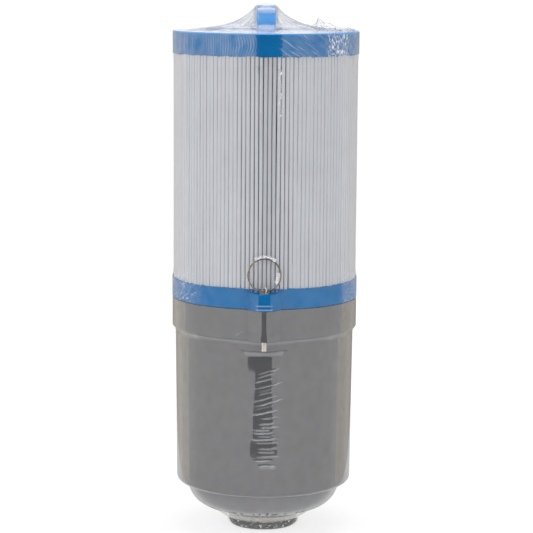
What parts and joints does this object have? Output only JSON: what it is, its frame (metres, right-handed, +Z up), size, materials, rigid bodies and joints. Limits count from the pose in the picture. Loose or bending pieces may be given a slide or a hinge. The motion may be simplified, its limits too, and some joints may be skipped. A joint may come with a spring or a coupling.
{
  "type": "filter cartridge",
  "caption": "Top-load spa filter: a pleated cartridge with a lift handle, held by a ring-pull pin on a grey canister with a threaded outlet, in clear shrink film.",
  "frame": {"origin": "centre of the outlet's open end, on the canister's axis", "axes": "+Z up along the axis through the handle, -Y towards the lock pin at the front, +X to the right of somebody who faces the pin"},
  "size_m": [0.1274, 0.1353, 0.36],
  "materials": {
    "blue_plastic": "satin",
    "grey_plastic": "satin",
    "outlet_plastic": "satin",
    "white_plastic": "satin",
    "pleat_fabric": "matte",
    "screen_plastic": "matte",
    "media": "matte",
    "seal_rubber": "satin",
    "pin_steel": "satin",
    "ring_steel": "polished",
    "film": "gloss"
  },
  "bodies": {
    "canister": {"threaded_outlet": "outlet_plastic", "outlet_o_ring": "seal_rubber", "reducer_bowl": "grey_plastic", "canister_shell": "grey_plastic", "canister_collar": "grey_plastic", "deck_plate": "grey_plastic", "spigot_tube": "grey_plastic", "spigot_o_ring": "seal_rubber", "inlet_screen": "screen_plastic", "media_bed": "media", "outlet_screen": "screen_plastic", "screen_grid": "screen_plastic", "shrink_film_lower": "film"},
    "cartridge": {"lower_end_cap": "blue_plastic", "outlet_sleeve": "white_plastic", "core_tube": "white_plastic", "pleated_media": "pleat_fabric", "top_end_cap": "blue_plastic", "lift_handle": "blue_plastic", "shrink_film_upper": "film"},
    "pin": {"lock_pin": "pin_steel", "pin_washer": "pin_steel"},
    "ring": {"pull_ring": "ring_steel"}
  },
  "joints": [
    {"name": "cartridge_lift", "type": "slide", "parent": "canister", "child": "cartridge", "axis": [0, 0, 1], "range_m": [0, 0.045]},
    {"name": "pin_pull", "type": "slide", "parent": "cartridge", "child": "pin", "axis": [0, 0, 1], "range_m": [0, 0.045]},
    {"name": "ring_swing", "type": "hinge", "parent": "pin", "child": "ring", "pos_m": [0, -0.0672, 0.1737], "axis": [1, 0, 0], "range_deg": [0, 98]}
  ]
}
